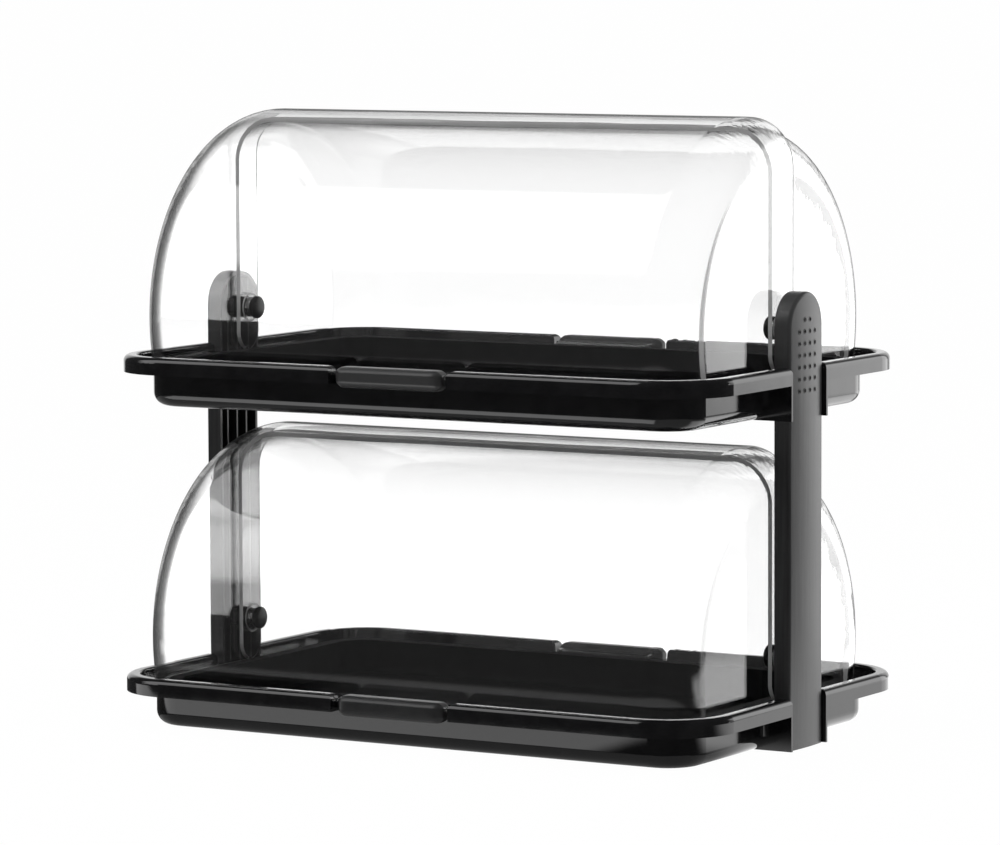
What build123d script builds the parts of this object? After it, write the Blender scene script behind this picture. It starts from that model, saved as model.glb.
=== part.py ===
from build123d import *
import os
from math import sqrt

# Two-tier roll-top display: two identical black trays between two posts, each tray closed by
# two nested clear half covers that turn about pivots on the posts. Millimetres, Z up, the
# origin on the table under the middle, X along the trays, the customer's side at -Y.

# Driving dimensions
RIM_LENGTH = 595
RIM_WIDTH = 395
RIM_CORNER = 62
TIER_PITCH = 280
TUB_DEPTH = 30
RIM_HEIGHT = 15
LEDGE_DROP = 8
PIVOT_ABOVE_RIM = 30.5
COVER_RADIUS = 178
COVER_LENGTH = 546
POST_WIDTH = 60
POST_DEPTH = 16
POST_INNER_X = 279.5
PAN_LENGTH = 530
PAN_WIDTH = 325

# Tray: heights are above the bottom of its own tub
TRAY_WALL = 2.5
RIM_LAND = 9.5
TUB_INSET = 26
TUB_ROUNDING = 12
RIM_ROUNDING = 5.5
RIM_INNER_ROUNDING = 2.2
RIM_TOP = TUB_DEPTH + RIM_HEIGHT
LEDGE_TOP = RIM_TOP - LEDGE_DROP
LEDGE_BOTTOM = LEDGE_TOP - TRAY_WALL
UPSTAND_INSET = RIM_LAND + TRAY_WALL
WELL_MARGIN = 6
NOTCH_END_ROUNDING = 5
PLATE_FILLET = 5
TUB_END_X = RIM_LENGTH / 2 - TUB_INSET

# Grips and the rim notches that they close into
NOTCH_HALF = 58
GRIP_HALF = 52.5
GRIP_INNER_Y = 184
GRIP_OUTER_Y = 199
GRIP_LOW = 26.5
GRIP_HIGH = RIM_TOP
LUG_HALF = 45
LUG_LOW = LEDGE_TOP + 1
LUG_HIGH = LUG_LOW + 3
LUG_REACH_Y = 190
GRIP_ROUNDING = 4
GRIP_END_ROUNDING = 6

# Covers
PIVOT_HEIGHT = RIM_TOP + PIVOT_ABOVE_RIM
COVER_WALL = 2.5
COVER_BOTTOM = LEDGE_TOP + 0.5
OUTER_FILLET = 41
INNER_RADIUS = 170.5
INNER_LENGTH = 538
INNER_FILLET = 38
TAB_RADIUS = 17
EDGE_BEAD_WIDTH = 4
EDGE_BEAD_DEPTH = 1.4

# Pivots, from the post inwards
SLEEVE_RADIUS = 6
SLEEVE_HOLE_RADIUS = SLEEVE_RADIUS + 0.08
PIN_RADIUS = 4
PIN_DEPTH_IN_POST = 12
PIN_DEPTH_IN_KNOB = 3
WASHER_RADIUS = 10
WASHER_INNER_X = 273.5
SPACER_RADIUS = 8
SPACER_X = (269.2, 270.3)
COLLAR_RADIUS = 8
COLLAR_X = (261, 266.3)
KNOB_RADIUS = 10
KNOB_X = (255, 261)
KNOB_ROUNDING = 1.5

# Posts
POST_WALL = 3
POST_CROWN = 1.5
POST_EDGE_ROUNDING = 3
POST_ARCH_ABOVE_PIVOT = 2
POST_RIBS_Y = (-15, 0, 15)
RIB_THICKNESS = 2
RIB_SETBACK = 2
PIVOT_BOSS_RADIUS = 7
POST_OUTER_X = POST_INNER_X + POST_DEPTH
POST_CLEARANCE = 0.5
HOLE_RADIUS = 1.7
HOLE_COLUMNS = (-13.5, -4.5, 4.5, 13.5)
HOLE_ROWS = 7
HOLE_ROW_PITCH = 10
HOLE_TOP_ROW = 364

# Screws that hold each post to the boss on the end of each tub
SCREW_HEIGHTS = (16.5, 27.5)
SCREW_RADIUS = 2
SCREW_HEAD_RADIUS = 4
SCREW_HEAD_THICKNESS = 2.4
SCREW_DEPTH_IN_POST = 11
BOSS_RADIUS = 4.8

# Food pan that rests on the ledge of each tray
PAN_CORNER = 38
PAN_FLANGE = 2
PAN_WALL = 2
PAN_BODY_LENGTH = 508
PAN_BODY_WIDTH = 303
PAN_BODY_CORNER = 27
PAN_DEPTH = 29
PAN_TAPER = 5
PAN_ROUNDING = 6

# How far joined shapes run into each other, and how close counts as the same size
EMBED = 1
SAME_SIZE = 0.01

TIERS = {"lower": 0, "upper": TIER_PITCH}
SIDES = {"left": -1, "right": 1}


def save(builder, label):
    builder.part.label = label
    export_step(builder.part, f"parts/{label}.step")


def rounded_block(length, width, corner, low, high, mode=Mode.ADD):
    with BuildSketch(Plane.XY.offset(low)) as plan:
        RectangleRounded(length, width, corner)
    extrude(plan.sketch, amount=high - low, mode=mode)


def rim_block(inset, low, high, mode=Mode.ADD):
    length = RIM_LENGTH - 2 * inset
    width = RIM_WIDTH - 2 * inset
    rounded_block(length, width, RIM_CORNER - inset, low, high, mode)


def block(x, y, z, mode=Mode.ADD):
    center = ((x[0] + x[1]) / 2, (y[0] + y[1]) / 2, (z[0] + z[1]) / 2)
    with Locations(center):
        Box(x[1] - x[0], y[1] - y[0], z[1] - z[0], mode=mode)


def rod(radius, x, y, z, mode=Mode.ADD):
    with Locations(Location(((x[0] + x[1]) / 2, y, z), (0, 90, 0))):
        Cylinder(radius, abs(x[1] - x[0]), mode=mode)


def span(side, start, end):
    return sorted((side * start, side * end))


def rim_hollow(floor):
    """The space under the rim, less the walls that close it at the notches."""
    rim_bottom = floor + TUB_DEPTH
    post_gap = POST_WIDTH / 2 + POST_CLEARANCE
    with BuildPart() as hollow:
        rim_block(TRAY_WALL, rim_bottom, floor + RIM_TOP - TRAY_WALL)
        rim_block(RIM_LAND, floor + LEDGE_BOTTOM, floor + RIM_TOP, Mode.SUBTRACT)
        rim_block(TUB_INSET, rim_bottom, floor + RIM_TOP, Mode.SUBTRACT)
        height = (rim_bottom, floor + RIM_TOP)
        for side in SIDES.values():
            along = span(side, TUB_END_X - RIM_CORNER, RIM_LENGTH)
            block(along, (-post_gap - TRAY_WALL, post_gap + TRAY_WALL), height, Mode.SUBTRACT)
            across = span(side, GRIP_INNER_Y - EMBED, RIM_WIDTH)
            end_wall = NOTCH_HALF + TRAY_WALL
            block((-end_wall, end_wall), across, height, Mode.SUBTRACT)
    return hollow.part


def rounded_tub(inset, low, high, rounding):
    with BuildPart() as tub:
        rim_block(inset, low, high)
        fillet(tub.edges().group_by(Axis.Z)[0], rounding)
    return tub.part


def is_on_upstand(edge):
    corner = RIM_CORNER - UPSTAND_INSET
    if edge.geom_type == GeomType.CIRCLE:
        return abs(edge.radius - corner) < SAME_SIZE
    middle = edge.center()
    on_side = abs(abs(middle.Y) - RIM_WIDTH / 2 + UPSTAND_INSET) < SAME_SIZE
    on_end = abs(abs(middle.X) - RIM_LENGTH / 2 + UPSTAND_INSET) < SAME_SIZE
    return on_side or on_end


def plate_root(corner, side, edge, low, high):
    """The rounded root between a bracket plate and the end of the tub."""
    reach = PLATE_FILLET
    with BuildSketch(Plane.XY.offset(low)) as root:
        with Locations((corner[0] + side * reach / 2, corner[1] + edge * reach / 2)):
            Rectangle(reach, reach)
        with Locations((corner[0] + side * reach, corner[1] + edge * reach)):
            Circle(reach, mode=Mode.SUBTRACT)
    extrude(root.sketch, amount=high - low)


def cut_notch(plane, half, low, high, depth):
    """A notch through the rim that flares at the top, so the rim ends are rounded."""
    flare = NOTCH_END_ROUNDING
    with BuildSketch(plane) as outline:
        with Locations((0, (low + high) / 2)):
            Rectangle(2 * half, high - low)
        with Locations((0, high + flare / 2)):
            Rectangle(2 * (half + flare), flare)
        for edge in (-1, 1):
            with Locations((edge * (half + flare / 2), high - flare / 2)):
                Rectangle(flare, flare)
            with Locations((edge * (half + flare), high - flare)):
                Circle(flare, mode=Mode.SUBTRACT)
    extrude(outline.sketch, amount=depth, mode=Mode.SUBTRACT)


def base_tray(floor):
    rim_bottom = floor + TUB_DEPTH
    rim_top = floor + RIM_TOP
    post_gap = POST_WIDTH / 2 + POST_CLEARANCE
    hollow = rim_hollow(floor)
    tub = rounded_tub(TUB_INSET, floor, rim_bottom, TUB_ROUNDING)
    basin_rounding = TUB_ROUNDING - TRAY_WALL
    basin_floor = floor + TRAY_WALL
    basin = rounded_tub(TUB_INSET + TRAY_WALL, basin_floor, floor + LEDGE_BOTTOM, basin_rounding)
    with BuildPart() as tray:
        # Rim, with the groove inside it that the covers close into
        rim_block(0, rim_bottom, rim_top)
        fillet(tray.edges().group_by(Axis.Z)[-1], RIM_ROUNDING)
        rim_block(UPSTAND_INSET, floor + LEDGE_TOP, rim_top, Mode.SUBTRACT)
        top_edges = tray.edges().group_by(Axis.Z)[-1]
        fillet(top_edges.filter_by(is_on_upstand), RIM_INNER_ROUNDING)
        add(hollow, mode=Mode.SUBTRACT)
        # Tub, with the bracket plates that stand out from its ends beside each post
        add(tub)
        for side in SIDES.values():
            along = span(side, TUB_END_X - TUB_ROUNDING, RIM_LENGTH / 2)
            for edge in (-1, 1):
                plate = span(edge, post_gap, post_gap + TRAY_WALL)
                block(along, plate, (floor, rim_bottom + EMBED))
                root = (side * TUB_END_X, edge * (post_gap + TRAY_WALL))
                plate_root(root, side, edge, floor + TUB_ROUNDING, rim_bottom)
        add(basin, mode=Mode.SUBTRACT)
        rounded_block(
            PAN_LENGTH - 2 * WELL_MARGIN,
            PAN_WIDTH - 2 * WELL_MARGIN,
            PAN_CORNER - WELL_MARGIN,
            floor + LEDGE_BOTTOM,
            floor + LEDGE_TOP,
            Mode.SUBTRACT,
        )
        # Notches for the posts and the grips
        for side in SIDES.values():
            clear = span(side, TUB_END_X, RIM_LENGTH)
            block(clear, (-post_gap, post_gap), (floor, floor + LEDGE_BOTTOM), Mode.SUBTRACT)
            grip_plane = Plane.XZ.offset(-side * (GRIP_INNER_Y - EMBED))
            cut_notch(grip_plane, NOTCH_HALF, rim_bottom, rim_top, -side * RIM_WIDTH)
            post_plane = Plane.YZ.offset(side * (POST_INNER_X - POST_CLEARANCE))
            cut_notch(post_plane, post_gap, floor, rim_top, side * RIM_LENGTH)
        # Bosses for the post screws
        for side in SIDES.values():
            for height in SCREW_HEIGHTS:
                boss = span(side, TUB_END_X - TRAY_WALL, POST_INNER_X)
                rod(BOSS_RADIUS, boss, 0, floor + height)
                rod(SCREW_RADIUS, boss, 0, floor + height, Mode.SUBTRACT)
    return tray


def tapered_tub(length, width, corner, top, depth, rounding):
    """A tub-shaped solid whose sides draw in towards a rounded bottom."""
    with BuildPart() as tub:
        with BuildSketch(Plane.XY.offset(top)) as plan:
            RectangleRounded(length, width, corner)
        extrude(plan.sketch, amount=depth, dir=(0, 0, -1), taper=PAN_TAPER)
        fillet(tub.edges().group_by(Axis.Z)[0], rounding)
    return tub.part


def food_pan(floor):
    ledge = floor + LEDGE_TOP
    rim = ledge + PAN_FLANGE
    length = PAN_BODY_LENGTH
    width = PAN_BODY_WIDTH
    body = tapered_tub(length, width, PAN_BODY_CORNER, ledge, PAN_DEPTH, PAN_ROUNDING + PAN_WALL)
    length -= 2 * PAN_WALL
    width -= 2 * PAN_WALL
    corner = PAN_BODY_CORNER - PAN_WALL
    well = tapered_tub(length, width, corner, rim, PAN_DEPTH + PAN_FLANGE - PAN_WALL, PAN_ROUNDING)
    with BuildPart() as pan:
        rounded_block(PAN_LENGTH, PAN_WIDTH, PAN_CORNER, ledge, rim)
        add(body)
        add(well, mode=Mode.SUBTRACT)
    return pan


def drum(radius, length, corner, pivot, mode=Mode.ADD):
    """A drum on the pivot axis, rounded where its ends meet its side."""
    with BuildSketch(Plane.XY.offset(pivot)) as profile:
        Rectangle(length, radius, align=(Align.CENTER, Align.MIN))
        fillet(profile.vertices().group_by(Axis.Y)[-1], corner)
    axis = Axis((0, 0, pivot), (1, 0, 0))
    revolve(profile.sketch, axis=axis, revolution_arc=360, mode=mode)


def bead_cavity(side, radius, length, corner, pivot):
    """The inside of a half shell, short of the bead along its upright edge."""
    bead_end = span(side, EDGE_BEAD_WIDTH - TAB_RADIUS, 2 * radius)
    with BuildPart() as cavity:
        drum(radius, length, corner, pivot)
        height = (pivot - 2 * radius, pivot + 2 * radius)
        block((-length, length), bead_end, height, Mode.INTERSECT)
    return cavity.part


def half_cover(floor, side, radius, length, corner, bead):
    """A clear half shell; side is -1 for the front half and 1 for the rear half."""
    pivot = floor + PIVOT_HEIGHT
    bottom = floor + COVER_BOTTOM
    inner_length = length - 2 * COVER_WALL
    inner_radius = radius - COVER_WALL
    inner_corner = corner - COVER_WALL
    with BuildPart() as cover:
        drum(radius, length, corner, pivot)
        neck = inner_corner - bead
        drum(inner_radius - bead, inner_length - 2 * bead, neck, pivot, Mode.SUBTRACT)
        if bead:
            cavity = bead_cavity(side, inner_radius, inner_length, inner_corner, pivot)
            add(cavity, mode=Mode.SUBTRACT)
        # Flat bottom edge, rounded tab under the pivot, upright edge past the middle
        with BuildSketch(Plane.YZ.offset(-length)) as kept:
            across = span(side, -TAB_RADIUS, 2 * radius)
            with Locations((across[0], bottom)):
                Rectangle(across[1] - across[0], 4 * radius, align=(Align.MIN, Align.MIN))
            tab = kept.vertices().sort_by_distance((-side * TAB_RADIUS, bottom))[0]
            fillet(tab, TAB_RADIUS)
        extrude(kept.sketch, amount=2 * length, mode=Mode.INTERSECT)
        # Lug at the middle of the bottom edge, which the grip is pressed on to
        rise = floor + LUG_LOW - pivot
        root = sqrt(radius**2 - rise**2) - EMBED
        lug_height = (floor + LUG_LOW, floor + LUG_HIGH)
        block((-LUG_HALF, LUG_HALF), span(side, root, LUG_REACH_Y), lug_height)
        rod(SLEEVE_HOLE_RADIUS, (-length, length), 0, pivot, Mode.SUBTRACT)
    return cover


def grip(floor, side):
    with BuildPart() as bar:
        across = span(side, GRIP_INNER_Y, GRIP_OUTER_Y)
        block((-GRIP_HALF, GRIP_HALF), across, (floor + GRIP_LOW, floor + GRIP_HIGH))
        for axis, rounding in ((Axis.Z, GRIP_END_ROUNDING), (Axis.X, GRIP_ROUNDING)):
            outer_face = bar.faces().sort_by(Axis.Y)[0 if side < 0 else -1]
            fillet(outer_face.edges().filter_by(axis), rounding)
        lug = span(side, GRIP_INNER_Y, LUG_REACH_Y)
        block((-LUG_HALF, LUG_HALF), lug, (floor + LUG_LOW, floor + LUG_HIGH), Mode.SUBTRACT)
    return bar


def pivot_pin(side, height):
    with BuildPart() as pin:
        along = span(side, KNOB_X[1] - PIN_DEPTH_IN_KNOB, POST_INNER_X + PIN_DEPTH_IN_POST)
        rod(PIN_RADIUS, along, 0, height)
    return pin


def pivot_knob(side, height):
    with BuildPart() as knob:
        rod(KNOB_RADIUS, span(side, *KNOB_X), 0, height)
        cap = knob.faces().sort_by(Axis.X)[0 if side > 0 else -1]
        fillet(cap.edges(), KNOB_ROUNDING)
        hole = span(side, KNOB_X[1] - PIN_DEPTH_IN_KNOB, KNOB_X[1])
        rod(PIN_RADIUS, hole, 0, height, Mode.SUBTRACT)
    return knob


def ring(side, along, radius, bore, height):
    with BuildPart() as sleeve:
        rod(radius, span(side, *along), 0, height)
        rod(bore, span(side, *along), 0, height, Mode.SUBTRACT)
    return sleeve


def pivot_bush(side, height):
    """The collar inside the covers and the sleeve that both half covers turn on."""
    with BuildPart() as bush:
        rod(COLLAR_RADIUS, span(side, *COLLAR_X), 0, height)
        rod(SLEEVE_RADIUS, span(side, COLLAR_X[0], WASHER_INNER_X), 0, height)
        rod(PIN_RADIUS, span(side, COLLAR_X[0], WASHER_INNER_X), 0, height, Mode.SUBTRACT)
    return bush


def post_outline(half, foot):
    arch = TIER_PITCH + PIVOT_HEIGHT + POST_ARCH_ABOVE_PIVOT
    with Locations((0, foot)):
        Rectangle(2 * half, arch - foot, align=(Align.CENTER, Align.MIN))
    with Locations((0, arch)):
        Circle(half)


def vent_holes():
    for row in range(HOLE_ROWS):
        columns = HOLE_COLUMNS if row else HOLE_COLUMNS[1:3]
        with Locations([(column, HOLE_TOP_ROW - row * HOLE_ROW_PITCH) for column in columns]):
            Circle(HOLE_RADIUS)


def post(side):
    """A channel open towards the trays, with an arched top and a crowned outer face."""
    half = POST_WIDTH / 2
    inner = side * POST_INNER_X
    arch = TIER_PITCH + PIVOT_HEIGHT + POST_ARCH_ABOVE_PIVOT
    wall = side * (POST_OUTER_X - POST_WALL)
    with BuildPart() as channel:
        with BuildSketch(Plane.YZ.offset(inner)) as outline:
            post_outline(half, 0)
        extrude(outline.sketch, amount=side * POST_DEPTH)
        with BuildSketch() as section:
            with BuildLine():
                shoulder = side * (POST_OUTER_X - POST_CROWN)
                ThreePointArc((shoulder, -half), (side * POST_OUTER_X, 0), (shoulder, half))
                Polyline((shoulder, half), (inner, half), (inner, -half), (shoulder, -half))
            make_face()
        extrude(section.sketch, amount=arch + POST_WIDTH, mode=Mode.INTERSECT)
        outer_face = channel.faces().sort_by(Axis.X)[-1 if side > 0 else 0]
        fillet(outer_face.edges().group_by(Axis.Z)[1:], POST_EDGE_ROUNDING)
        # Hollow of the channel, its three ribs and the perforated panel near the top
        with BuildSketch(Plane.YZ.offset(inner)) as hollow:
            post_outline(half - POST_WALL, POST_WALL)
        extrude(hollow.sketch, amount=wall - inner, mode=Mode.SUBTRACT)
        for y in POST_RIBS_Y:
            reach = half - POST_WALL / 2
            top = arch + sqrt(reach**2 - (abs(y) + RIB_THICKNESS / 2) ** 2)
            depth = span(side, POST_INNER_X + RIB_SETBACK, POST_OUTER_X - POST_WALL)
            block(depth, (y - RIB_THICKNESS / 2, y + RIB_THICKNESS / 2), (POST_WALL / 2, top))
        with BuildSketch(Plane.YZ.offset(wall)) as vents:
            vent_holes()
        extrude(vents.sketch, amount=side * POST_DEPTH, mode=Mode.SUBTRACT)
        # Bosses for the pivot pins and the tray screws
        for floor in TIERS.values():
            boss_length = span(side, POST_INNER_X, POST_OUTER_X - POST_WALL)
            rod(PIVOT_BOSS_RADIUS, boss_length, 0, floor + PIVOT_HEIGHT)
            pin_hole = span(side, POST_INNER_X, POST_INNER_X + PIN_DEPTH_IN_POST)
            rod(PIN_RADIUS, pin_hole, 0, floor + PIVOT_HEIGHT, Mode.SUBTRACT)
            screw_hole = span(side, POST_INNER_X, POST_INNER_X + SCREW_DEPTH_IN_POST)
            for height in SCREW_HEIGHTS:
                rod(BOSS_RADIUS, boss_length, 0, floor + height)
                rod(SCREW_RADIUS, screw_hole, 0, floor + height, Mode.SUBTRACT)
    return channel


def post_screw(side, height):
    head_seat = TUB_END_X - TRAY_WALL
    with BuildPart() as screw:
        shank = span(side, head_seat, POST_INNER_X + SCREW_DEPTH_IN_POST)
        rod(SCREW_RADIUS, shank, 0, height)
        rod(SCREW_HEAD_RADIUS, span(side, head_seat - SCREW_HEAD_THICKNESS, head_seat), 0, height)
        cap = screw.faces().sort_by(Axis.X)[0 if side > 0 else -1]
        fillet(cap.edges(), SCREW_HEAD_THICKNESS / 3)
    return screw


os.makedirs("parts", exist_ok=True)

for tier, floor in TIERS.items():
    save(base_tray(floor), f"{tier}_tray")
    save(food_pan(floor), f"{tier}_food_pan")
    front = half_cover(floor, -1, COVER_RADIUS, COVER_LENGTH, OUTER_FILLET, 0)
    save(front, f"{tier}_front_cover")
    rear = half_cover(floor, 1, INNER_RADIUS, INNER_LENGTH, INNER_FILLET, EDGE_BEAD_DEPTH)
    save(rear, f"{tier}_rear_cover")
    save(grip(floor, -1), f"{tier}_front_grip")
    save(grip(floor, 1), f"{tier}_rear_grip")

for side_name, side in SIDES.items():
    save(post(side), f"{side_name}_post")
    for tier, floor in TIERS.items():
        pivot = floor + PIVOT_HEIGHT
        name = f"{tier}_{side_name}"
        washer_x = (WASHER_INNER_X, POST_INNER_X)
        save(pivot_pin(side, pivot), f"{name}_pivot_pin")
        save(pivot_knob(side, pivot), f"{name}_pivot_knob")
        save(pivot_bush(side, pivot), f"{name}_pivot_bush")
        save(ring(side, SPACER_X, SPACER_RADIUS, SLEEVE_RADIUS, pivot), f"{name}_cover_spacer")
        save(ring(side, washer_x, WASHER_RADIUS, PIN_RADIUS, pivot), f"{name}_pivot_washer")
        for number, height in enumerate(SCREW_HEIGHTS, 1):
            save(post_screw(side, floor + height), f"{name}_post_screw_{number}")
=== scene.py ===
import bpy
import bmesh
import math
from mathutils import Euler, Matrix, Vector


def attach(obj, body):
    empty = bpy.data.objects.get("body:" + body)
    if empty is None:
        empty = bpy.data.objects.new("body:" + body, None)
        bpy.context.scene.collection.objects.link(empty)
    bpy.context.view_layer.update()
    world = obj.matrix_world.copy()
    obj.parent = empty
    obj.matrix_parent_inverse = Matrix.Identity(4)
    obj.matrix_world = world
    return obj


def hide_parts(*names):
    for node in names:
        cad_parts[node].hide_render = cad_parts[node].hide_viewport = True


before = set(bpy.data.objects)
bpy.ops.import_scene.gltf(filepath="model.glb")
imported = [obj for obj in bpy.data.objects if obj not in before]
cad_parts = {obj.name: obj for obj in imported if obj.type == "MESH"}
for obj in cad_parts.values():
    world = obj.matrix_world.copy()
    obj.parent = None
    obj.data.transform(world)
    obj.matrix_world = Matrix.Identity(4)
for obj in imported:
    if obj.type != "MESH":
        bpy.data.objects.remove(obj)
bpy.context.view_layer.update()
tiers = {"lower": 0.0, "upper": 0.28}    # height of each tray's underside
sides = {"left": -1, "right": 1}
pivotRise = 0.0755    # height of a tier's pivots over its tray's underside
weld = 0.00001    # points closer than this are joined


class Wire:
    # an output socket that can be added, multiplied and so on
    def __init__(self, look, socket):
        self.look = look
        self.socket = socket

    def maths(self, operation, *values):
        sockets = dict(enumerate(values))
        return self.look.add("ShaderNodeMath", {"operation": operation}, sockets)

    def __add__(self, other):
        return self.maths("ADD", self, other)

    def __radd__(self, other):
        return self.maths("ADD", other, self)

    def __sub__(self, other):
        return self.maths("SUBTRACT", self, other)

    def __rsub__(self, other):
        return self.maths("SUBTRACT", other, self)

    def __mul__(self, other):
        return self.maths("MULTIPLY", self, other)

    def __rmul__(self, other):
        return self.maths("MULTIPLY", other, self)

    def __pow__(self, other):
        return self.maths("POWER", self, other)

    def larger(self, other):
        return self.maths("MAXIMUM", self, other)

    def ramp(self, low, high, start=0.0, end=1.0):
        # smooth step from start at low to end at high
        sockets = {"Value": self, "From Min": low, "From Max": high, "To Min": start, "To Max": end}
        return self.look.add("ShaderNodeMapRange", {"interpolation_type": "SMOOTHSTEP"}, sockets)


class Look:
    # a node tree that is filled one node at a time
    def __init__(self, tree):
        self.tree = tree
        tree.nodes.clear()

    def add(self, kind, settings=None, sockets=None, out=0):
        node = self.tree.nodes.new(kind)
        for key, value in (settings or {}).items():
            setattr(node, key, value)
        for key, value in (sockets or {}).items():
            if isinstance(value, Wire):
                self.tree.links.new(value.socket, node.inputs[key])
            else:
                node.inputs[key].default_value = value
        return Wire(self, node.outputs[out])

    def place(self, scale=(1, 1, 1)):
        # the point on the piece in metres, stretched by scale
        point = self.add("ShaderNodeTexCoord", out="Object")
        return self.add("ShaderNodeMapping", {}, {"Vector": point, "Scale": scale})

    def noise(self, point, scale, detail=3.0, roughness=0.55):
        sockets = {"Vector": point, "Scale": scale, "Detail": detail, "Roughness": roughness}
        return self.add("ShaderNodeTexNoise", {}, sockets)

    def bump(self, height, strength, distance):
        sockets = {"Height": height, "Strength": strength, "Distance": distance}
        return self.add("ShaderNodeBump", {}, sockets)

    def blend(self, factor, low, high):
        settings = {"data_type": "RGBA"}
        return self.add("ShaderNodeMix", settings, {0: factor, 6: low, 7: high}, out=2)

    def close(self, shader, kind="ShaderNodeOutputMaterial"):
        node = self.tree.nodes.new(kind)
        self.tree.links.new(shader.socket, node.inputs["Surface"])


def newLook(name):
    material = bpy.data.materials.new(name)
    material.use_nodes = True
    return material, Look(material.node_tree)


def rayKinds(look):
    rays = look.add("ShaderNodeLightPath").socket.node
    names = ("Camera", "Diffuse", "Glossy", "Transmission")
    kinds = {name: Wire(look, rays.outputs[f"Is {name} Ray"]) for name in names}
    # straight: seen through the clear plastic and not by way of a mirror image
    mirrored = Wire(look, rays.outputs["Glossy Depth"])
    kinds["Straight"] = kinds["Transmission"] * (1 - mirrored.maths("MINIMUM", mirrored, 1.0))
    return kinds


def parts(look, vector):
    # the X, Y and Z of a vector
    axes = look.add("ShaderNodeSeparateXYZ", {}, {"Vector": vector}).socket.node
    return [Wire(look, axes.outputs[axis]) for axis in "XYZ"]


def blackPlastic(name, settings):
    # moulded black plastic: faint mottling, fine scuffs and a slight ripple in the gloss
    material, look = newLook(name)
    point = look.place()
    mottle = look.noise(look.place(settings["mottleStretch"]), settings["mottleScale"], detail=4.0)
    scuffs = look.place(settings["scuffStretch"])
    scuffs = look.noise(scuffs, settings["scuffScale"], detail=6.0, roughness=0.7)
    scuffs = scuffs.ramp(*settings["scuffFrom"]) * settings["scuffGloss"]
    grain = look.noise(point, settings["grainScale"], detail=2.0)
    ripple = look.noise(point, settings["rippleScale"], detail=1.0)
    colour = look.blend(mottle.ramp(*settings["mottleFrom"]), settings["dark"], settings["light"])
    if settings["paintedLight"]:
        # painted light: paler higher up, where the posts' tops and the upper tier are lit more
        height = parts(look, look.add("ShaderNodeTexCoord", out="Object"))[2]
        colour = look.blend(height.ramp(*settings["paintedLightFrom"]), colour, settings["paintedLight"])
    roughness = settings["roughness"] + (mottle - 0.5) * settings["mottleGloss"] + scuffs
    relief = grain * settings["grainHeight"] + ripple * settings["rippleHeight"]
    normal = look.bump(relief, strength=1.0, distance=settings["reliefUnit"])
    shader = look.add("ShaderNodeBsdfPrincipled", {}, {
        "Base Color": colour, "Roughness": roughness, "Normal": normal,
        "IOR": settings["ior"], "Specular IOR Level": settings["specular"],
    })
    look.close(shader)
    return material


gloss = {
    "dark": (0.004, 0.004, 0.0045, 1), "light": (0.008, 0.008, 0.0085, 1), "paintedLight": None,
    "roughness": 0.07, "specular": 0.5, "ior": 1.5, "mottleGloss": 0.05, "scuffGloss": 0.06,
    "mottleStretch": (1, 1, 1), "mottleScale": 60.0, "mottleFrom": (0.3, 0.7),
    "scuffStretch": (1, 1, 6), "scuffScale": 90.0, "scuffFrom": (0.56, 0.74),
    "grainScale": 2200.0, "grainHeight": 0.008, "rippleScale": 26.0, "rippleHeight": 0.12,
    "reliefUnit": 0.001,
}
satin = dict(
    gloss, mottleGloss=0.08, scuffStretch=(6, 6, 1),
    grainScale=1500.0, grainHeight=0.05, rippleHeight=0.02,
)
panBlack = dict(
    satin, dark=(0.003, 0.003, 0.0033, 1), light=(0.006, 0.006, 0.0063, 1),
    roughness=0.7, specular=0.05,
)
# painted light: paler towards the top
postBlack = dict(
    satin, dark=(0.017, 0.017, 0.0175, 1), light=(0.029, 0.029, 0.0295, 1),
    paintedLight=(0.045, 0.045, 0.0455, 1), paintedLightFrom=(0.22, 0.42),
    roughness=0.3, specular=0.4, mottleStretch=(1, 1, 0.03), mottleScale=420.0,
)
# painted light: the vent sleeves are pale grey throughout, a highlight inside each hole
ventGrey = dict(postBlack, paintedLight=(0.4, 0.4, 0.4, 1), paintedLightFrom=(0.0, 0.2))
knobBlack = dict(
    satin, dark=(0.005, 0.005, 0.005, 1), light=(0.009, 0.009, 0.009, 1),
    roughness=0.3, specular=0.22,
)
# painted light: only the upper tier's grips reach the paler colour
gripGrey = dict(
    gloss, dark=(0.013, 0.013, 0.0135, 1), light=(0.02, 0.02, 0.0205, 1),
    paintedLight=(0.026, 0.026, 0.0265, 1), paintedLightFrom=(0.1, 0.3),
    roughness=0.34, specular=0.45, scuffStretch=(1, 3, 3),
    grainScale=1800.0, grainHeight=0.07, rippleHeight=0.02,
)
trayLook = blackPlastic("trayBlack", gloss)
panLook = blackPlastic("panBlack", panBlack)
postLook = blackPlastic("postBlack", postBlack)
ventLook = blackPlastic("ventPaintedHighlight", ventGrey)
gripLook = blackPlastic("gripGrey", gripGrey)
knobLook = blackPlastic("knobBlack", knobBlack)


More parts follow.
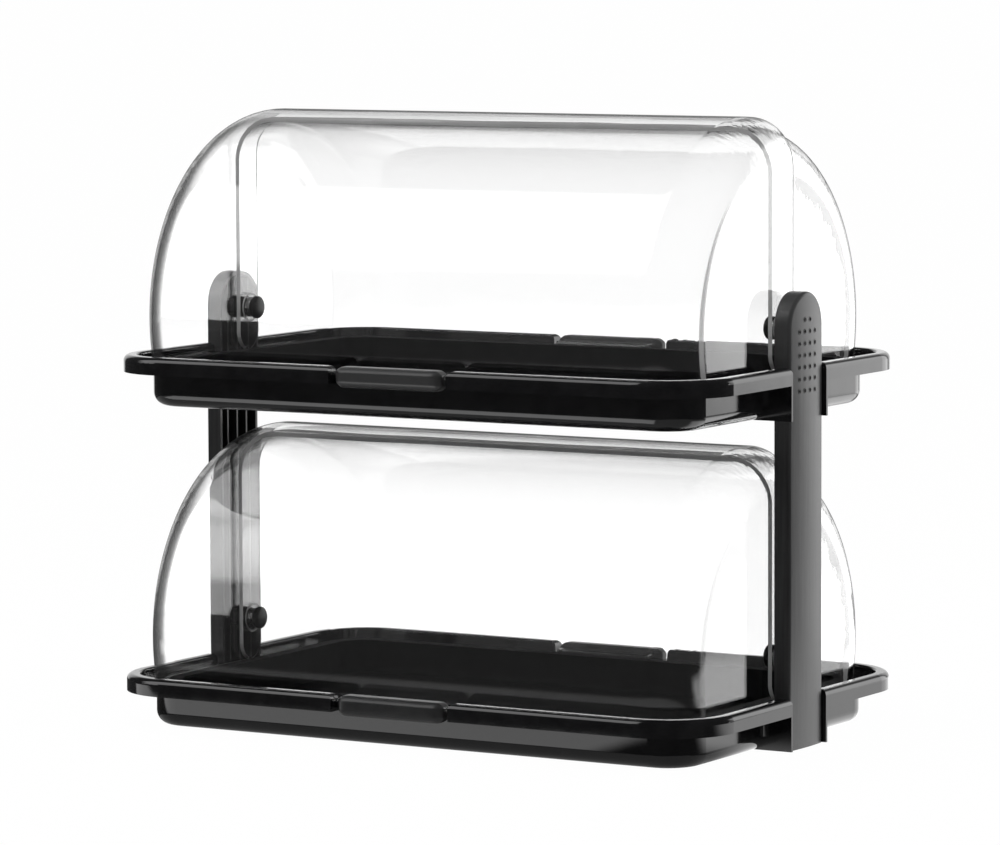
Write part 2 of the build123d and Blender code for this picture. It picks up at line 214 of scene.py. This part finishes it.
def clearPlastic(name, settings, pivotZ=None):
    # clear moulded plastic: flow ripple, greyer where it is seen edge on, lamps pass straight in
    material, look = newLook(name)
    flow = look.noise(look.place(settings["flowStretch"]), settings["flowScale"])
    flow = flow * settings["flowHeight"]
    if pivotZ is None:
        paintedMix = settings["paintedMix"]
    else:
        # a cover's ripples and painted lines; rise is the height over its pivots, radius the
        # distance from them
        x, y, z = parts(look, look.add("ShaderNodeTexCoord", out="Object"))
        rise = z - pivotZ
        flow = flow * (1 + rise.ramp(*settings["crownFrom"]) * settings["crownFlow"])
        end = x.maths("ABSOLUTE", x)
        radius = (y * y + rise * rise) ** 0.5
        wrinkled = end.ramp(*settings["wrinkleEnd"]) * radius.ramp(*settings["wrinkleRadius"])
        wrinkled = wrinkled * rise.ramp(*settings["wrinkleRise"])
        wrinkles = look.place(settings["wrinkleStretch"])
        wrinkles = look.noise(wrinkles, settings["wrinkleScale"], detail=4.0, roughness=0.6)
        flow = flow + wrinkles * wrinkled * settings["wrinkleHeight"]
        # a painted grey curved line where the front cover's flat right end begins: painted shade
        # for the line that refraction draws there
        width = rise.ramp(*settings["paintedLineRise"]) * settings["paintedLineWidth"]
        across = radius.maths("ABSOLUTE", radius - settings["paintedLineRadius"])
        paintedLine = (width - across).ramp(0.0, settings["paintedLineSoft"])
        paintedLine = paintedLine * x.ramp(*settings["paintedLineAt"]) * y.ramp(*settings["paintedLineSide"])
        # painted ragged grey lines on the rear cover's right end where its fillet begins: painted
        # shade for the line that refraction draws there
        ragged = look.place(settings["raggedStretch"])
        ragged = look.noise(ragged, settings["raggedScale"], detail=5.0, roughness=0.7)
        ragged = radius + ragged * settings["raggedReach"]
        marks = ragged.ramp(*settings["raggedFrom"]) * radius.ramp(*settings["raggedTo"], 1.0, 0.0)
        marks = marks * x.ramp(*settings["raggedAt"]) * y.ramp(*settings["raggedSide"])
        marks = marks * settings["raggedPaint"]
        paintedMix = (paintedLine * settings["paintedLineStrength"]).larger(marks)
    haze = look.noise(look.place(), settings["hazeScale"], detail=5.0, roughness=0.7)
    normal = look.bump(flow, strength=1.0, distance=1.0)
    glass = look.add("ShaderNodeBsdfPrincipled", {}, {
        "Base Color": settings["tint"],
        "Roughness": haze.ramp(*settings["hazeFrom"], 0.0, settings["hazeGloss"]),
        "IOR": settings["ior"], "Transmission Weight": 1.0, "Normal": normal,
    })
    facing = look.add("ShaderNodeLayerWeight", {}, {"Blend": 0.5}, out="Facing")
    streaks = look.noise(look.place(settings["streakStretch"]), settings["streakScale"])
    streaks = streaks.ramp(*settings["streakFrom"], settings["streakFaint"], 1.0)
    band = facing.ramp(*settings["bandFrom"]) * settings["bandDepth"] * streaks
    if pivotZ is not None:
        # painted shade: a grey band on the fillet at the covers' left end only, slimmer higher up
        corner = x.ramp(*settings["endBandAt"]) * radius.ramp(*settings["endBandRadius"])
        slimmer = facing - rise.ramp(*settings["endBandTop"], 0.0, settings["endBandSlim"])
        endBand = slimmer.ramp(*settings["endBandFrom"]) * corner * settings["endBandDepth"]
        band = band.larger(endBand)
    outline = facing.ramp(*settings["outlineFrom"]) * settings["outlineDepth"]
    grey = look.add("ShaderNodeBsdfPrincipled", {}, {
        "Base Color": settings["edgeColour"], "Roughness": settings["edgeRoughness"],
        "Specular IOR Level": 0.0,
    })
    solid = look.add("ShaderNodeMixShader", {}, {0: band.larger(outline), 1: glass, 2: grey})
    # a painted layer: opaque grey mixed in where lines, glints and shade are painted
    paintedLayer = look.add("ShaderNodeBsdfPrincipled", {}, {
        "Base Color": settings["paintedColour"], "Roughness": settings["paintedRoughness"],
        "IOR": settings["paintedIor"], "Normal": normal,
    })
    solid = look.add("ShaderNodeMixShader", {}, {0: paintedMix, 1: solid, 2: paintedLayer})
    rays = look.add("ShaderNodeLightPath", out="Is Shadow Ray")
    clear = look.add("ShaderNodeBsdfTransparent", {}, {"Color": settings["lampTint"]})
    look.close(look.add("ShaderNodeMixShader", {}, {0: rays, 1: solid, 2: clear}))
    return material


crystal = {
    "tint": (0.98, 0.98, 0.98, 1), "lampTint": (0.9, 0.9, 0.9, 1), "ior": 1.49,
    "hazeScale": 30.0, "hazeFrom": (0.6, 0.8), "hazeGloss": 0.015,
    "paintedColour": (0.42, 0.42, 0.42, 1), "paintedRoughness": 0.3, "paintedIor": 1.45,
    "flowStretch": (0.15, 1, 1), "flowScale": 14.0, "flowHeight": 0.00008,
    "crownFrom": (0.11, 0.16), "crownFlow": 3.0,
    "wrinkleStretch": (0.4, 1, 0.6), "wrinkleScale": 30.0, "wrinkleHeight": 0.0006,
    "wrinkleEnd": (0.235, 0.25), "wrinkleRadius": (0.137, 0.145),
    "wrinkleRise": (0.08, 0.13, 0.2, 1.0),
    "paintedLineRadius": 0.1445, "paintedLineWidth": 0.0036, "paintedLineSoft": 0.0006, "paintedLineStrength": 0.6,
    "paintedLineRise": (0.138, 0.01), "paintedLineAt": (0.2695, 0.2699), "paintedLineSide": (-0.02, -0.03),
    "raggedStretch": (1, 1, 0.35), "raggedScale": 90.0, "raggedReach": 0.035, "raggedPaint": 0.5,
    "raggedFrom": (0.137, 0.138), "raggedTo": (0.1295, 0.1315),
    "raggedAt": (0.267, 0.268), "raggedSide": (0.02, 0.03),
    "streakStretch": (0.02, 1, 1), "streakScale": 220.0,
    "streakFrom": (0.35, 0.65), "streakFaint": 0.72,
    "bandFrom": (0.72, 0.84), "bandDepth": 0.5,
    "outlineFrom": (0.83, 0.905), "outlineDepth": 0.88,
    "endBandFrom": (0.3, 0.56), "endBandDepth": 0.64, "endBandAt": (-0.232, -0.245),
    "endBandRadius": (0.135, 0.14), "endBandTop": (0.1, 0.15), "endBandSlim": 0.22,
    "edgeColour": (0.05, 0.05, 0.05, 1), "edgeRoughness": 0.5,
}
# the lower cover's copy: a fainter painted line and a lighter edge-on band
faint = dict(crystal, paintedLineStrength=0.12, bandDepth=0.35)
# painted lines on the covers' cut edges: grey on the beaded edge, dark on the plain edge, for what
# refraction shows there
trimmedEdge = dict(crystal, paintedMix=0.8, paintedColour=(0.46, 0.46, 0.46, 1))
frontEdge = dict(crystal, paintedMix=0.8, paintedColour=(0.1, 0.1, 0.1, 1))
# painted shade: the collars and spacers carry a dark grey layer for the dark seen through them
bushClear = dict(crystal, flowHeight=0.0, paintedMix=0.6, paintedColour=(0.06, 0.06, 0.06, 1))
# painted highlight: a pale layer for the glint rings
glintClear = dict(crystal, flowHeight=0.0, paintedMix=0.35, paintedColour=(0.8, 0.8, 0.8, 1))
coverLooks = {
    "lower": clearPlastic("lowerCoverClear", faint, tiers["lower"] + pivotRise),
    "upper": clearPlastic("upperCoverClear", crystal, tiers["upper"] + pivotRise),
}
rimLook = clearPlastic("coverTrimmedEdge", trimmedEdge)
edgeLook = clearPlastic("coverFrontEdge", frontEdge)
bushLook = clearPlastic("bushClear", bushClear)
glintLook = clearPlastic("glintClear", glintClear)


def turnedSteel(name, settings):
    # steel with fine turning rings about X
    material, look = newLook(name)
    rings = look.noise(look.place(settings["ringStretch"]), settings["ringScale"])
    shader = look.add("ShaderNodeBsdfPrincipled", {}, {
        "Base Color": look.blend(rings, settings["dull"], settings["bright"]),
        "Roughness": rings.ramp(*settings["ringFrom"], *settings["roughness"]), "Metallic": 1.0,
        "Normal": look.bump(rings, settings["relief"], settings["reliefUnit"]),
    })
    look.close(shader)
    return material


steel = {
    "dull": (0.5, 0.5, 0.51, 1), "bright": (0.62, 0.62, 0.63, 1), "roughness": (0.25, 0.4),
    "ringStretch": (40, 1, 1), "ringScale": 60.0, "ringFrom": (0.3, 0.7),
    "relief": 0.3, "reliefUnit": 0.0002,
}
polished = dict(
    steel, dull=(0.8, 0.8, 0.8, 1), bright=(0.9, 0.9, 0.9, 1), roughness=(0.06, 0.12),
)
steelLook = turnedSteel("turnedSteel", steel)
ringLook = turnedSteel("polishedRing", polished)

# which finish each carried-over piece gets, by the end of its name
nodeLooks = {
    "tray": trayLook, "food_pan": panLook, "post": postLook, "grip": gripLook,
    "cover": coverLooks["upper"], "pivot_knob": knobLook, "pivot_washer": knobLook,
    "pivot_bush": bushLook, "cover_spacer": bushLook, "pivot_pin": steelLook,
    "post_screw_1": steelLook, "post_screw_2": steelLook,
}
for nodeName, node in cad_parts.items():
    ending = [key for key in nodeLooks if nodeName.endswith(key)][0]
    node.data.materials.clear()
    node.data.materials.append(nodeLooks[ending])
print("finishes on the carried-over pieces")


def everything(bm):
    return bm.verts[:] + bm.edges[:] + bm.faces[:]


def newPiece(bm, name, smooth=True):
    # puts a finished bmesh into the scene as an object at the origin
    for face in bm.faces:
        face.smooth = smooth
    mesh = bpy.data.meshes.new(name)
    bm.to_mesh(mesh)
    bm.free()
    piece = bpy.data.objects.new(name, mesh)
    bpy.context.scene.collection.objects.link(piece)
    return piece


def settle(piece, body, slot, *looks):
    # gives a piece its finishes and the body it moves with
    for look in looks:
        piece.data.materials.append(look)
    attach(piece, body)
    return piece


# the half covers' wall, feet and edges, in metres like every length here
coverShape = {
    "wall": 0.0025, "footRise": 0.0375, "tabRadius": 0.017, "holeRadius": 0.00608,
    "arcSteps": 16, "spinSteps": 180, "tabCuts": 8, "beadWidth": 0.004, "beadSlope": 0.002,
    "edgeBevel": 0.0004, "edgeSteps": 2, "edgeAngle": 50.0,
}
halves = {
    "front": {"side": -1, "radius": 0.178, "length": 0.546, "fillet": 0.041, "bead": 0.0},
    "rear": {"side": 1, "radius": 0.1705, "length": 0.538, "fillet": 0.038, "bead": 0.0014},
}


def cutAway(bm, point, outwards):
    bmesh.ops.bisect_plane(
        bm, geom=everything(bm), plane_co=point, plane_no=outwards, clear_outer=True,
    )


def score(bm, point, normal):
    bmesh.ops.bisect_plane(bm, geom=everything(bm), plane_co=point, plane_no=normal)


def spunDrum(shape, half, pivotZ):
    # a whole drum with rounded ends about the pivot axis: half its outline spun, then mirrored
    bm = bmesh.new()
    endX = half["length"] / 2
    corner = Vector((endX - half["fillet"], 0, pivotZ + half["radius"] - half["fillet"]))
    start = bm.verts.new((endX, 0, pivotZ + shape["holeRadius"]))
    start = bmesh.ops.extrude_vert_indiv(bm, verts=[start])["verts"][0]
    start.co = (endX, 0, corner.z)
    arc = bmesh.ops.spin(
        bm, geom=[start], cent=corner, axis=(0, 1, 0), angle=-math.pi / 2, steps=shape["arcSteps"]
    )
    arcEnd = [item for item in arc["geom_last"] if isinstance(item, bmesh.types.BMVert)][0]
    middle = bmesh.ops.extrude_vert_indiv(bm, verts=[arcEnd])["verts"][0]
    middle.co = (0, 0, pivotZ + half["radius"])
    bmesh.ops.spin(
        bm, geom=everything(bm), cent=(0, 0, pivotZ), axis=(1, 0, 0), angle=2 * math.pi,
        steps=shape["spinSteps"], use_merge=True,
    )
    bmesh.ops.mirror(bm, geom=everything(bm), axis="X", merge_dist=weld)
    bmesh.ops.remove_doubles(bm, verts=bm.verts[:], dist=weld)
    return bm


def halfCover(name, body, half, floorZ):
    # the drum cut down to a half cover with a tab round each pivot
    shape = coverShape
    side = half["side"]
    pivotZ = floorZ + pivotRise
    footZ = floorZ + shape["footRise"]
    tab = shape["tabRadius"]
    bm = spunDrum(shape, half, pivotZ)
    cutAway(bm, (0, -side * tab, 0), (0, -side, 0))
    cutAway(bm, (0, 0, footZ), (0, 0, -1))
    for cut in range(1, shape["tabCuts"]):
        angle = math.pi / 2 * cut / shape["tabCuts"]
        outwards = Vector((0, -side * math.cos(angle), -math.sin(angle)))
        cutAway(bm, Vector((0, 0, footZ + tab)) + tab * outwards, outwards)
    if half["bead"]:
        slope = shape["beadSlope"] / 2
        for depth in (shape["beadWidth"] - slope, shape["beadWidth"] + slope):
            score(bm, (0, -side * (tab - depth), 0), (0, 1, 0))
    bmesh.ops.recalc_face_normals(bm, faces=bm.faces[:])
    top = max(bm.faces, key=lambda face: face.calc_center_median().z)
    if top.normal.z < 0:
        bmesh.ops.reverse_faces(bm, faces=bm.faces[:])
    cover = newPiece(bm, name)
    solid = cover.modifiers.new("wall", "SOLIDIFY")
    solid.thickness = shape["wall"] + half["bead"]
    solid.offset = -1
    solid.use_even_offset = True
    solid.material_offset_rim = 1
    if half["bead"]:
        # a thicker bead along the cut edge
        solid.vertex_group = "wall"
        group = cover.vertex_groups.new(name="wall")
        for vertex in cover.data.vertices:
            onBead = side * vertex.co.y < shape["beadWidth"] - tab
            share = 1.0 if onBead else shape["wall"] / solid.thickness
            group.add([vertex.index], share, "REPLACE")
    bevel = cover.modifiers.new("edges", "BEVEL")
    bevel.width = shape["edgeBevel"]
    bevel.segments = shape["edgeSteps"]
    bevel.limit_method = "ANGLE"
    bevel.angle_limit = math.radians(shape["edgeAngle"])
    cover.modifiers.new("flats", "WEIGHTED_NORMAL").keep_sharp = True
    cutLook = rimLook if half["bead"] else edgeLook
    return settle(cover, body, "clear_plastic", coverLooks[body.split("_")[0]], cutLook)


for tier, floorZ in tiers.items():
    for halfName, half in halves.items():
        cover = halfCover(f"{tier}_{halfName}_shell", f"{tier}_{halfName}_half", half, floorZ)
        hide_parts(f"{tier}_{halfName}_cover")
print("half covers")


def lathe(name, body, slot, look, profile, place, side, steps):
    # spins a profile of (distance from place towards the middle, radius) about the pivot axis
    bm = bmesh.new()
    for along, radius in profile:
        vertex = bm.verts.new((place[0] - side * along, place[1], place[2] + radius))
        if len(bm.verts) > 1:
            bm.verts.ensure_lookup_table()
            bm.edges.new((bm.verts[-2], vertex))
    bmesh.ops.spin(
        bm, geom=everything(bm), cent=place, axis=(1, 0, 0), angle=2 * math.pi,
        steps=steps, use_merge=True,
    )
    bmesh.ops.remove_doubles(bm, verts=bm.verts[:], dist=weld)
    bmesh.ops.recalc_face_normals(bm, faces=bm.faces[:])
    return settle(newPiece(bm, name), body, slot, look)


knob = {
    "x": 0.261, "steps": 64,
    "profile": [(0, 0), (0, 0.009), (0.0004, 0.0096), (0.0010, 0.0099), (0.0018, 0.01),
                (0.0034, 0.01), (0.0040, 0.0098), (0.0045, 0.0093), (0.0050, 0.0086),
                (0.0054, 0.0077), (0.0056, 0.0068), (0.0057, 0)],
}
# pale rings about the pivots on the rear halves: painted glints
glint = {
    "x": 0.2662, "steps": 96,
    "profile": [(0, 0.0112), (0.0008, 0.0114), (0.0011, 0.0118), (0.0011, 0.0126), (0.0008, 0.013),
                (0, 0.0132), (-0.0002, 0.0126), (-0.0002, 0.0118), (0, 0.0112)],
}
for tier, floorZ in tiers.items():
    for sideName, side in sides.items():
        pivotZ = floorZ + pivotRise
        place = (side * knob["x"], 0, pivotZ)
        piece = lathe(f"{tier}_{sideName}_knob_cap", "stand", "knob_plastic", knobLook,
                      knob["profile"], place, side, knob["steps"])
        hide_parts(f"{tier}_{sideName}_pivot_knob")
        place = (side * glint["x"], 0, pivotZ)
        lathe(f"{tier}_{sideName}_glint_ring", f"{tier}_rear_half", "clear_plastic", glintLook,
              glint["profile"], place, side, glint["steps"])
print("knobs and hub rings")


bush = {
    "x": 0.2663, "steps": 64,
    "profile": [(0, 0.0041), (0, 0.0074), (0.0004, 0.0077), (0.0048, 0.0077), (0.0051, 0.0074),
                (0.0051, 0.0041), (0, 0.0041)],
    "ringAt": (0.0004, 0.0021, 0.0038),
    "ring": [(0, 0.0074), (0, 0.0083), (0.0002, 0.0088), (0.0006, 0.009), (0.001, 0.0088),
             (0.0012, 0.0083), (0.0012, 0.0074), (0, 0.0074)],
}
for tier, floorZ in tiers.items():
    for sideName, side in sides.items():
        pivotZ = floorZ + pivotRise
        place = (side * bush["x"], 0, pivotZ)
        lathe(f"{tier}_{sideName}_collar", "stand", "clear_plastic", bushLook,
              bush["profile"], place, side, bush["steps"])
        for number, along in enumerate(bush["ringAt"], 1):
            place = (side * (bush["x"] - along), 0, pivotZ)
            lathe(f"{tier}_{sideName}_collar_ring_{number}", "stand", "clear_plastic", ringLook,
                  bush["ring"], place, side, bush["steps"])
print("ringed collars")


# a grip bar: inner and outer are its distances from the middle, low and high its heights
gripShape = {
    "half": 0.0525, "inner": 0.1842, "outer": 0.199, "low": 0.0272, "high": 0.045, "cuts": 26,
    "endRound": 0.0065, "backRound": 0.001, "frontRound": 0.005, "lowRound": 0.0055,
    "topRound": 0.0046, "softness": 1.35,
}


def roundGrip(name, body, side, floorZ):
    # a soft bar: each corner is part of an ellipsoid, fuller at the front and top
    shape = gripShape
    low = Vector((-shape["half"], shape["inner"], floorZ + shape["low"]))
    high = Vector((shape["half"], shape["outer"], floorZ + shape["high"]))
    lowRound = (shape["endRound"], shape["backRound"], shape["lowRound"])
    highRound = (shape["endRound"], shape["frontRound"], shape["topRound"])
    bm = bmesh.new()
    bmesh.ops.create_cube(bm, size=2)
    bmesh.ops.subdivide_edges(bm, edges=bm.edges[:], cuts=shape["cuts"], use_grid_fill=True)
    for vertex in bm.verts:
        core = Vector()
        out = Vector()
        for axis in range(3):
            share = (1 + math.sin(vertex.co[axis] * math.pi / 2)) / 2
            place = low[axis] + share * (high[axis] - low[axis])
            core[axis] = min(max(place, low[axis] + lowRound[axis]), high[axis] - highRound[axis])
            cornerRound = lowRound if place < core[axis] else highRound
            out[axis] = (place - core[axis]) / cornerRound[axis]
        length = sum(abs(value) ** shape["softness"] for value in out) ** (1 / shape["softness"])
        out = out / length if length else out
        for axis in range(3):
            core[axis] += out[axis] * (lowRound[axis] if out[axis] < 0 else highRound[axis])
        vertex.co = (core.x, side * core.y, core.z)
    bmesh.ops.recalc_face_normals(bm, faces=bm.faces[:])
    return settle(newPiece(bm, name), body, "grip_plastic", gripLook)


for tier, floorZ in tiers.items():
    for halfName, half in halves.items():
        body = f"{tier}_{halfName}_half"
        piece = roundGrip(f"{tier}_{halfName}_grip_bar", body, half["side"], floorZ)
        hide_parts(f"{tier}_{halfName}_grip")
print("grips")


# profiles: radius about the hole, height over the panel's bowed face
vents = {
    "columns": (-0.0135, -0.0045, 0.0045, 0.0135), "rows": 7, "pitch": 0.01, "top": 0.364,
    "steps": 28, "crownX": 0.2955, "crownRadius": 0.30075, "shadeRingShift": 0.0005,
    "sleeve": [(0.00162, -0.0011), (0.00162, -0.0001), (0.0018, -0.0001), (0.0018, -0.0011)],
    "shadeRing": [(0.0016, -0.0002), (0.0016, 0.0001), (0.0017, 0.00018), (0.0022, 0.00018),
             (0.0023, -0.0002)],
}


def ventRings(name, side, profile, shift, look):
    # a ring spun round each hole of the perforated panel
    bm = bmesh.new()
    for row in range(vents["rows"]):
        for column in vents["columns"] if row else vents["columns"][1:3]:
            y = column + shift
            z = vents["top"] - row * vents["pitch"]
            x = vents["crownX"] - column * column / (2 * vents["crownRadius"])
            points = [bm.verts.new((side * (x + rise), y, z + radius)) for radius, rise in profile]
            edges = [bm.edges.new(pair) for pair in zip(points, points[1:] + points[:1])]
            bmesh.ops.spin(
                bm, geom=points + edges, cent=(side * x, y, z), axis=(1, 0, 0), angle=2 * math.pi,
                steps=vents["steps"], use_merge=True,
            )
    bmesh.ops.remove_doubles(bm, verts=bm.verts[:], dist=weld / 10)
    bmesh.ops.recalc_face_normals(bm, faces=bm.faces[:])
    return settle(newPiece(bm, name, smooth=False), "stand", "post_plastic", look)


# the pale sleeves in the holes are painted highlights; the dark rings, set off towards -Y, are
# painted shade at one side of each hole
for sideName, side in sides.items():
    ventRings(f"{sideName}_post_vent_sleeves", side, vents["sleeve"], 0, ventLook)
    ventRings(f"{sideName}_post_vent_shade_rings", side, vents["shadeRing"], -vents["shadeRingShift"], knobLook)
print("vent lips")


lug = {
    "halfLength": 0.045, "rise": (0.038, 0.041), "outerY": 0.19, "overlap": 0.0004,
    "bevel": 0.0006, "bevelSteps": 2,
}


def coverLug(name, body, half, floorZ, look):
    # the clear tongue at the foot of a half cover that carries the grip
    low, high = [floorZ + rise for rise in lug["rise"]]
    drop = pivotRise - sum(lug["rise"]) / 2
    inner = math.sqrt(half["radius"] ** 2 - drop ** 2) - lug["overlap"]
    bm = bmesh.new()
    bmesh.ops.create_cube(bm, size=1)
    for vertex in bm.verts:
        x = 2 * lug["halfLength"] * vertex.co.x
        y = lug["outerY"] if vertex.co.y > 0 else inner
        vertex.co = (x, half["side"] * y, high if vertex.co.z > 0 else low)
    bmesh.ops.recalc_face_normals(bm, faces=bm.faces[:])
    bmesh.ops.bevel(
        bm, geom=bm.edges[:], offset=lug["bevel"], segments=lug["bevelSteps"], profile=0.5,
        affect="EDGES", material=-1,
    )
    return settle(newPiece(bm, name, smooth=False), body, "clear_plastic", look)


for tier, floorZ in tiers.items():
    for halfName, half in halves.items():
        body = f"{tier}_{halfName}_half"
        coverLug(f"{tier}_{halfName}_lug", body, half, floorZ, coverLooks[tier])
print("lugs")


# an At is in degrees from +Y towards +X, a Top or Low is a direction's Z,
# and a Reach is a squared distance from the middle of the floor
studio = {
    "floorSize": 120.0, "floorColour": (0.86, 0.86, 0.86, 1), "floorGlow": 0.99,
    "footReach": (0.10, 0.16), "plain": 0.35, "dark": 0.06, "darkThrough": 0.2,
    "through": 1.05, "near": 1.32, "nearReach": (16.0, 36.0),
    "backdrop": 1.05, "backdropAt": -30.7, "backdropHalf": (26.0, 36.0),
    "backdropTop": (0.30, 0.55),
    "sidePanel": 2.75, "sidePanelAt": 20.7, "sidePanelHalf": (7.0, 19.0),
    "sidePanelTop": (0.35, 0.5),
    "frontPanel": 2.6, "frontX": (-0.92, -0.8, -0.38, -0.32),
    "frontY": (-0.76, -0.70, -0.2, -0.14), "frontLow": (0.18, 0.24),
    "tableSide": 1.75, "tableSideX": (0.02, 0.1), "tableSideY": (-0.12, 0.0),
    "tableSideReach": (1.4, 2.5),
    "tableFan": 1.4, "tableFanAt": 32.0, "tableFanHalf": (6.0, 21.0),
    "tableFanReach": (0.4, 0.8),
    "tableGlow": 2.0, "tableX": (-0.9, -0.7, 0.13, 0.17),
    "tableY": (-0.363, -0.347, -0.22, -0.2), "tableSlant": (0.77, 0.83),
    "stripY": (-0.95, -0.88, -0.42, -0.38), "stripSlant": (0.68, 0.72), "stripFloor": 0.3,
}


def around(x, y, centre, half):
    # 1 within half[0] degrees of a compass bearing, 0 beyond half[1]
    bearing = math.radians(centre)
    inner, outer = [math.cos(math.radians(angle)) for angle in half]
    length = (x * x + y * y) ** 0.5
    towards = x.maths("DIVIDE", x * math.sin(bearing) + y * math.cos(bearing), length)
    return towards.ramp(outer, inner)


def band(value, edges):
    # rises between the first two edges and falls between the last two
    return value.ramp(edges[0], edges[1]) * value.ramp(edges[2], edges[3], 1.0, 0.0)


def surround(x, y):
    # the wide pale backdrop behind and the bright panel to its right, over the dark
    backdrop = around(x, y, studio["backdropAt"], studio["backdropHalf"])
    side = around(x, y, studio["sidePanelAt"], studio["sidePanelHalf"])
    dark = studio["dark"]
    return backdrop * (studio["backdrop"] - dark), side * (studio["sidePanel"] - dark)


def floorLook():
    # white to the camera, paper to diffuse light, its own glow in mirrors and through the covers
    material, look = newLook("studioFloor")
    rays = rayKinds(look)
    x, y = parts(look, look.add("ShaderNodeTexCoord", out="Object"))[:2]
    backdrop, side = surround(x, y)
    # the table in front: seen low across the lower tray, and from above under the upper tray
    slant = look.add("ShaderNodeLayerWeight", {}, {"Blend": 0.5}, out="Facing")
    low = slant.ramp(*studio["tableSlant"])
    high = slant.ramp(*studio["stripSlant"], 1.0, 0.0)
    table = band(y, studio["tableY"]) * low + band(y, studio["stripY"]) * high
    table = table * band(x, studio["tableX"]) * studio["tableGlow"] + high * studio["stripFloor"]
    reach = x * x + y * y
    # the table nearby at the right, further out only in a fan, and the side panel beyond it
    nearSide = x.ramp(*studio["tableSideX"]) * y.ramp(*studio["tableSideY"])
    nearSide = nearSide * reach.ramp(*studio["tableSideReach"], 1.0, 0.0)
    fan = around(x, y, studio["tableFanAt"], studio["tableFanHalf"]) * studio["tableFan"]
    nearSide = nearSide * (1 + (fan - 1) * reach.ramp(*studio["tableFanReach"]))
    nearSide = nearSide * studio["tableSide"]
    side = side * reach.ramp(*studio["tableSideReach"])
    far = reach.ramp(*studio["footReach"])
    dark = studio["dark"] + rays["Transmission"] * (studio["darkThrough"] - studio["dark"])
    # seen straight through the covers the paper is white from the tray's foot outwards; there and
    # in mirrors the glow stays dark nearer in, a painted shadow of the object
    through = rays["Straight"] * far * (studio["through"] - studio["darkThrough"])
    through = through * reach.ramp(*studio["nearReach"], studio["near"], 1.0)
    backdrop = (backdrop * far).larger(through)
    glow = dark + (backdrop + side).larger(nearSide) + table
    paper = look.add("ShaderNodeBsdfDiffuse", {}, {"Color": studio["floorColour"]})
    white = look.add("ShaderNodeEmission", {}, {"Color": (1, 1, 1, 1), "Strength": 1.0})
    seenBack = look.add("ShaderNodeEmission", {}, {"Color": (1, 1, 1, 1), "Strength": glow})
    toCamera = rays["Camera"] * studio["floorGlow"]
    shown = look.add("ShaderNodeMixShader", {}, {0: toCamera, 1: paper, 2: white})
    indirect = rays["Glossy"].larger(rays["Transmission"])
    look.close(look.add("ShaderNodeMixShader", {}, {0: indirect, 1: shown, 2: seenBack}))
    return material


bm = bmesh.new()
bmesh.ops.create_grid(bm, x_segments=1, y_segments=1, size=studio["floorSize"] / 2)
floor = newPiece(bm, "studioFloor", smooth=False)
floor.data.materials.append(floorLook())


def studioWorld():
    # white to the camera, plain for diffuse light, panels in the dark for mirrors
    world = bpy.data.worlds.new("studio")
    world.use_nodes = True
    look = Look(world.node_tree)
    rays = rayKinds(look)
    x, y, z = parts(look, look.add("ShaderNodeTexCoord", out="Generated"))
    backdrop, side = surround(x, y)
    backdrop = backdrop * z.ramp(*studio["backdropTop"], 1.0, 0.0)
    side = side * z.ramp(*studio["sidePanelTop"], 1.0, 0.0)
    front = band(x, studio["frontX"]) * band(y, studio["frontY"]) * z.ramp(*studio["frontLow"])
    front = front * studio["frontPanel"]
    dark = studio["dark"] + rays["Transmission"] * (studio["darkThrough"] - studio["dark"])
    backdrop = backdrop.larger(rays["Straight"] * (studio["through"] - studio["darkThrough"]))
    glow = dark + backdrop + side + front
    glow = rays["Diffuse"] * studio["plain"] + (1 - rays["Diffuse"]) * glow
    strength = rays["Camera"] + (1 - rays["Camera"]) * glow
    sky = look.add("ShaderNodeBackground", {}, {"Color": (1, 1, 1, 1), "Strength": strength})
    look.close(sky, "ShaderNodeOutputWorld")
    return world


bpy.context.scene.world = studioWorld()

softboxes = {
    "overheadBox": {
        "place": (-0.4, -0.3, 2.2), "aim": (0, 0, 0.2), "size": (1.6, 0.9), "power": 30,
    },
    "rightBox": {
        "place": (2.2, 0.6, 1.2), "aim": (0, 0, 0.25), "size": (1.0, 1.4), "power": 20,
    },
}
for name, box in softboxes.items():
    light = bpy.data.lights.new(name, "AREA")
    light.shape = "RECTANGLE"
    light.size, light.size_y = box["size"]
    light.energy = box["power"]
    lamp = bpy.data.objects.new(name, light)
    lamp.location = box["place"]
    towards = Vector(box["aim"]) - Vector(box["place"])
    lamp.rotation_euler = towards.to_track_quat("-Z", "Y").to_euler()
    lamp.visible_glossy = False
    lamp.visible_transmission = False
    bpy.context.scene.collection.objects.link(lamp)


# the camera's angles are in degrees, its lens and sensor in millimetres
shot = {
    "place": (2.3845, -4.0194, 0.708), "azimuth": 30.749, "elevation": 5.434, "roll": -0.25,
    "lens": 193.8, "sensor": 36.0, "reach": 200.0,
}
camera = bpy.data.cameras.new("camera")
camera.sensor_width = shot["sensor"]
camera.lens = shot["lens"]
camera.clip_end = shot["reach"]
cameraObject = bpy.data.objects.new("camera", camera)
level = Euler((math.pi / 2 - math.radians(shot["elevation"]), 0, math.radians(shot["azimuth"])))
turn = level.to_matrix() @ Matrix.Rotation(math.radians(shot["roll"]), 3, "Z")
cameraObject.matrix_world = Matrix.Translation(shot["place"]) @ turn.to_4x4()
bpy.context.scene.collection.objects.link(cameraObject)
bpy.context.scene.camera = cameraObject
bpy.context.scene.view_settings.view_transform = "Standard"
print("studio and camera")
